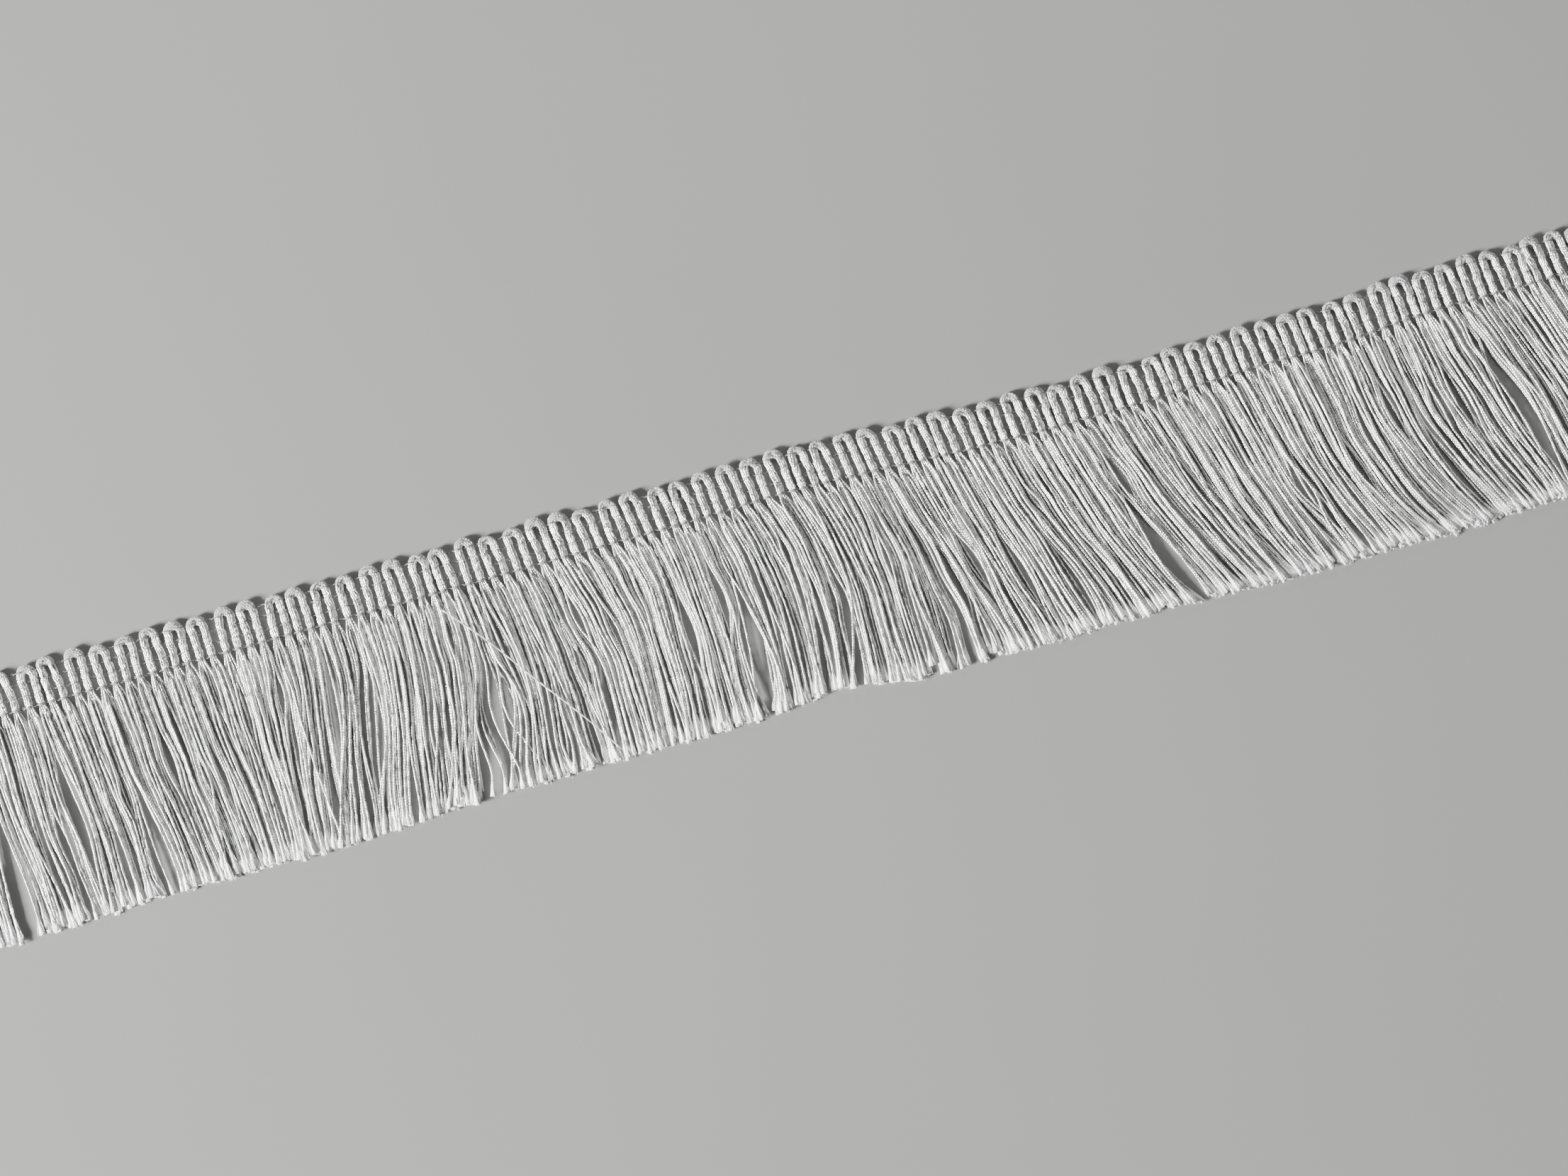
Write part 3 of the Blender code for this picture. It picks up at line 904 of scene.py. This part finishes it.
def add_heading(sizes, colours):
    """The loops in two stretches: bundles of yarn, round in the legs and flatter over the arch."""
    paths, on_arch, above = loop_paths(sizes)
    count = paths.shape[0] * paths.shape[1]
    paths = paths.reshape(count, -1, 3)
    on_arch = on_arch.reshape(count, -1)
    dice = np.random.default_rng(31)
    beads = np.clip(1 + HEADING_BEADS * dice.normal(0, 1, on_arch.shape), 0.7, 1.35)
    radius = sizes.yarn_diameter / 2
    half_width = radius * beads * (HEADING_WIDER + ARCH_FLATTER * on_arch)
    half_height = radius * (2 - beads) * (HEADING_HIGHER - ARCH_FLATTER * on_arch)
    turn = dice.uniform(-0.5, 0.5, on_arch.shape)
    rings = tube_rings(paths, half_width, half_height, sizes.yarn_sides, turn)
    tone = dice.random((count, 1))
    along = path_lengths(paths) + tone * PATTERN_SHIFT
    crown = ease((above.reshape(count, -1) - HEADING_DEPTH + CROWN_DEPTH) / CROWN_EDGE)
    marks = {"tone": np.broadcast_to(tone, on_arch.shape), "crown": crown}
    material = heading_material(colours)
    pieces = []
    names = ("heading_left", "heading_right")
    for name, part in zip(names, np.array_split(np.arange(count), len(names))):
        chosen = {mark: values[part] for mark, values in marks.items()}
        pieces.append(tubes_object(name, rings[part], along[part], chosen, material))
    return pieces


def heading_material(colours):
    """The skirt's metallic yarn before brushing: the same plies and flecks with painted glints,
    greyer and softer where it spreads over the arches."""
    shop = Shop("metallic_yarn")
    around, along = shop.around_and_along()
    tone, crown = shop.mark("tone"), shop.mark("crown")
    lay = tone * 61.0
    plies = ((around + along * 0.9) * (2 * np.pi)).sine().size()
    flecks = shop.noise(around * 2.0 + lay, along * 1.7, lay, 1.0, 2.0)
    # Painted glints: flecks of lit film, lighter than the grey of film seen edge on
    painted_glint = flecks.between(0.3, 0.5)
    silver = shop.blend(painted_glint, rgba(colours.dull_yarn), rgba(colours.bright_yarn))
    shop.set(
        Base_Color=shop.blend(crown * (0.75 + tone * 0.25), silver, rgba(colours.arch)),
        Metallic=0.68 - crown * 0.56,
        Roughness=0.26 + flecks.between(0.3, 0.7) * 0.15 - crown * 0.1,
        Alpha=1.0 - crown * flecks.between(0.3, 0.6) * 0.3,
        Normal=shop.bump(plies + flecks * 0.8, 0.8, 0.06 * MM),
    )
    return shop.material


# --- the binding threads -------------------------------------------------------------------------


def row_places(x, row):
    """The legs' places where a row crosses them, how near each x is to one, as a flat-topped bell
    curve, and the row's y at each x."""
    above = HEADING_DEPTH - row.depth * MM
    legs = leg_centres()
    legs = legs - lean(legs) * above / HEADING_DEPTH
    off = np.abs(x[:, None] - legs[None]).min(axis=1)
    on_leg = np.exp(-((off / CROSSING_REACH) ** 4))
    y = FOOT + rise(x) + above
    return legs, on_leg, y


def thread_piece(name, paths, radius, material, up=(0, 0, 1)):
    """One mesh of threads along these paths, each with a square-cut section of four sides."""
    rings = tube_rings(paths, radius, radius, 4, up=up)
    return tubes_object(name, rings, path_lengths(paths), {}, material)


def add_binding(number, row, sizes, colours):
    """One row: two running threads, over and under the legs, a ring round each leg, and a small
    chain loop in each gap between legs. The rings and the chain loops are ellipses."""
    dice = np.random.default_rng(50 + number)
    name = f"binding_row_{number}"
    material = thread_material(f"clear_thread_{number}", colours.thread, row.solid)
    above = HEADING_DEPTH - row.depth * MM
    kept = pinch(above)
    radius = row.thread * MM / 2
    ends = leg_centres()[[0, -1]] + np.array([-1, 1]) * (LEG_WIDTH * 0.75)
    x = np.linspace(*ends, sizes.thread_steps + 1)
    legs, on_leg, y = row_places(x, row)
    top = LEG_MIDDLE + (THREAD_OVER + sizes.yarn_diameter / 2) * kept
    weave = np.sin(2 * np.pi * x / (LEG_REACH * 1.02))
    over = points(x, y + 0.05 * MM * weave, LEG_MIDDLE + (top - LEG_MIDDLE) * on_leg)
    under = points(x, y - 0.09 * MM - 0.06 * MM * weave, 0.12 * MM + 0.35 * MM * (1 - on_leg))
    runs = np.stack([over, under])

    angle = np.linspace(0, 2 * np.pi, 13)
    gaps = (legs[1:] + legs[:-1]) / 2
    size = dice.uniform(0.8, 1.15, (len(gaps), 1))
    loops = points(
        gaps[:, None] + size * CHAIN_ALONG * np.cos(angle),
        FOOT + rise(gaps)[:, None] + above + size * CHAIN_DOWN * np.sin(angle),
        LEG_MIDDLE + CHAIN_UP * np.sin(angle + dice.uniform(0, 6, (len(gaps), 1))),
    )

    angle = np.linspace(0, 2 * np.pi, 15)
    half = (THREAD_BESIDE + sizes.yarn_diameter / 2) * kept
    tall = top - LEG_MIDDLE + radius * 0.3
    tilt = dice.normal(0, 0.06 * MM, (len(legs), 1))
    wrap = points(
        legs[:, None] + (half + radius * 0.3) * np.cos(angle),
        FOOT + rise(legs)[:, None] + above + tilt * np.cos(angle),
        np.maximum(LEG_MIDDLE + tall * np.sin(angle), 0.08 * MM),
    )
    beside = (np.arange(row.turns) - (row.turns - 1) / 2) * radius * 2.04
    wraps = np.concatenate([wrap + (0, step, 0) for step in beside])
    return [
        thread_piece(f"{name}_chain", loops, radius * 0.8, material),
        thread_piece(f"{name}_runs", runs, radius, material),
        thread_piece(f"{name}_wraps", wraps, radius, material, up=(0, 1, 0)),
    ]


# --- the stage -----------------------------------------------------------------------------------


def add_camera():
    """Straight above, far enough for an even scale, rolled so that the trim climbs to the right."""
    camera = bpy.data.objects.new("camera", bpy.data.cameras.new("camera"))
    camera.data.sensor_width = SENSOR
    camera.data.lens = SENSOR * CAMERA_HEIGHT / VIEW_WIDTH
    camera.location = (0, 0, CAMERA_HEIGHT)
    camera.rotation_euler = (0, 0, np.radians(VIEW_ROLL))
    bpy.context.scene.collection.objects.link(camera)
    bpy.context.scene.camera = camera


def add_light(softbox):
    """A square softbox that faces the trim's middle."""
    lamp = bpy.data.lights.new(softbox.name, "AREA")
    lamp.size = softbox.size
    lamp.energy = softbox.power
    light = bpy.data.objects.new(softbox.name, lamp)
    light.location = softbox.place
    light.rotation_euler = (-Vector(softbox.place)).to_track_quat("-Z", "Y").to_euler()
    bpy.context.scene.collection.objects.link(light)


def add_world():
    """A faint cool light from all round."""
    world = bpy.data.worlds.new("studio")
    world.use_nodes = True
    sky = world.node_tree.nodes["Background"]
    sky.inputs["Color"].default_value = (0.9, 0.95, 1, 1)
    sky.inputs["Strength"].default_value = WORLD_STRENGTH
    bpy.context.scene.world = world


def add_floor(colour):
    side = FLOOR_SIDE
    mesh = bpy.data.meshes.new("floor")
    corners = [(-side, -side, 0), (side, -side, 0), (side, side, 0), (-side, side, 0)]
    mesh.from_pydata(corners, [], [(0, 1, 2, 3)])
    mesh.materials.append(floor_material("floor", colour))
    floor = bpy.data.objects.new("floor", mesh)
    bpy.context.scene.collection.objects.link(floor)


# --- the add-on ----------------------------------------------------------------------------------


class TrimSizes(bpy.types.PropertyGroup):
    yarn_diameter: bpy.props.FloatProperty(
        name="Yarn diameter",
        description="Thickness of one twisted yarn",
        default=0.44 * MM,
        precision=5,
        unit="LENGTH",
    )
    skirt_depth: bpy.props.FloatProperty(
        name="Skirt depth",
        description="From the last binding row to the cut",
        default=41.7 * MM,
        precision=4,
        unit="LENGTH",
    )
    flare_depth: bpy.props.FloatProperty(
        name="Flare depth",
        description="How far below the last binding row the legs have opened out",
        default=3.6 * MM,
        precision=4,
        unit="LENGTH",
    )
    fray_depth: bpy.props.FloatProperty(
        name="Fray depth",
        description="How far up from the cut the yarns have untwisted",
        default=4.0 * MM,
        precision=4,
        unit="LENGTH",
    )
    skirt_steps: bpy.props.IntProperty(
        name="Skirt steps", description="Rings along one skirt yarn", default=42
    )
    leg_steps: bpy.props.IntProperty(
        name="Leg steps", description="Rings along one leg", default=13
    )
    arch_steps: bpy.props.IntProperty(
        name="Arch steps", description="Rings over one arch", default=9
    )
    yarn_sides: bpy.props.IntProperty(name="Yarn sides", description="Sides of a yarn", default=5)
    thread_steps: bpy.props.IntProperty(
        name="Thread steps", description="Rings along one binding thread", default=1000
    )
    hairs_per_end: bpy.props.IntProperty(
        name="Hairs per end", description="Loose fibres at each cut end", default=6
    )


class TrimColours(bpy.types.PropertyGroup):
    bright_yarn: bpy.props.FloatVectorProperty(
        name="Bright yarn", description="Lit film", subtype="COLOR", default=(0.93, 0.93, 0.905)
    )
    dull_yarn: bpy.props.FloatVectorProperty(
        name="Dull yarn",
        description="Film seen edge on",
        subtype="COLOR",
        default=(0.43, 0.44, 0.43),
    )
    arch: bpy.props.FloatVectorProperty(
        name="Arch", description="Yarns over an arch", subtype="COLOR", default=(0.52, 0.53, 0.52)
    )
    cut_ends: bpy.props.FloatVectorProperty(
        name="Cut ends", description="Opened fibres", subtype="COLOR", default=(0.95, 0.95, 0.94)
    )
    thread: bpy.props.FloatVectorProperty(
        name="Thread",
        description="Clear binding thread",
        subtype="COLOR",
        default=(0.3, 0.31, 0.305),
    )
    floor: bpy.props.FloatVectorProperty(
        name="Floor", description="Studio floor", subtype="COLOR", default=(0.21, 0.21, 0.206)
    )


def finish_piece(piece, slot, *nodes):
    """Hands a piece to the frame: attaches it to its body, and hides the solids that it stands
    for. The slot argument is not used.
    """
    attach(piece, BODY)
    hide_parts(*nodes)


class TRIM_OT_heading(bpy.types.Operator):
    """Add the looped heading"""

    bl_idname = "trim.heading"
    bl_label = "Heading"

    def execute(self, context):
        for piece in add_heading(context.scene.trim_sizes, context.scene.trim_colours):
            finish_piece(piece, "metallic_yarn", "heading")
        return {"FINISHED"}


class TRIM_OT_skirt(bpy.types.Operator):
    """Add the skirt's yarns and their cut ends"""

    bl_idname = "trim.skirt"
    bl_label = "Skirt"

    def execute(self, context):
        sizes, colours = context.scene.trim_sizes, context.scene.trim_colours
        pieces, yarns = add_skirt(sizes, colours)
        pieces += [add_cut_ends(sizes, colours, yarns), add_stray_film(colours, yarns)]
        for piece in pieces:
            finish_piece(piece, "brushed_yarn", "skirt")
        return {"FINISHED"}


class TRIM_OT_binding(bpy.types.Operator):
    """Add the four binding rows"""

    bl_idname = "trim.binding"
    bl_label = "Binding rows"

    def execute(self, context):
        sizes, colours = context.scene.trim_sizes, context.scene.trim_colours
        for number, row in enumerate(BINDING_ROWS, 1):
            for piece in add_binding(number, row, sizes, colours):
                finish_piece(piece, "clear_thread", f"binding_row_{number}")
        return {"FINISHED"}


class TRIM_OT_stage(bpy.types.Operator):
    """Add the floor, the lights and the camera"""

    bl_idname = "trim.stage"
    bl_label = "Stage"

    def execute(self, context):
        add_floor(context.scene.trim_colours.floor)
        for softbox in SOFTBOXES:
            add_light(softbox)
        add_world()
        add_camera()
        return {"FINISHED"}


class TRIM_PT_sidebar(bpy.types.Panel):
    """Sizes, colours and steps of the trim"""

    bl_label = "Fringe Trim"
    bl_idname = "TRIM_PT_sidebar"
    bl_space_type = "VIEW_3D"
    bl_region_type = "UI"
    bl_category = "Fringe Trim"

    def draw(self, context):
        layout = self.layout
        for group in (context.scene.trim_sizes, context.scene.trim_colours):
            for name in group.__annotations__:
                layout.prop(group, name)
        for step in STEPS:
            layout.operator(step.bl_idname)


STEPS = (TRIM_OT_heading, TRIM_OT_skirt, TRIM_OT_binding, TRIM_OT_stage)
CLASSES = (TrimSizes, TrimColours, *STEPS, TRIM_PT_sidebar)


def register():
    for item in CLASSES:
        bpy.utils.register_class(item)
    bpy.types.Scene.trim_sizes = bpy.props.PointerProperty(type=TrimSizes)
    bpy.types.Scene.trim_colours = bpy.props.PointerProperty(type=TrimColours)


def unregister():
    del bpy.types.Scene.trim_colours
    del bpy.types.Scene.trim_sizes
    for item in reversed(CLASSES):
        bpy.utils.unregister_class(item)


def main():
    register()
    bpy.ops.trim.heading()
    bpy.ops.trim.skirt()
    bpy.ops.trim.binding()
    bpy.ops.trim.stage()


if __name__ == "__main__":
    main()
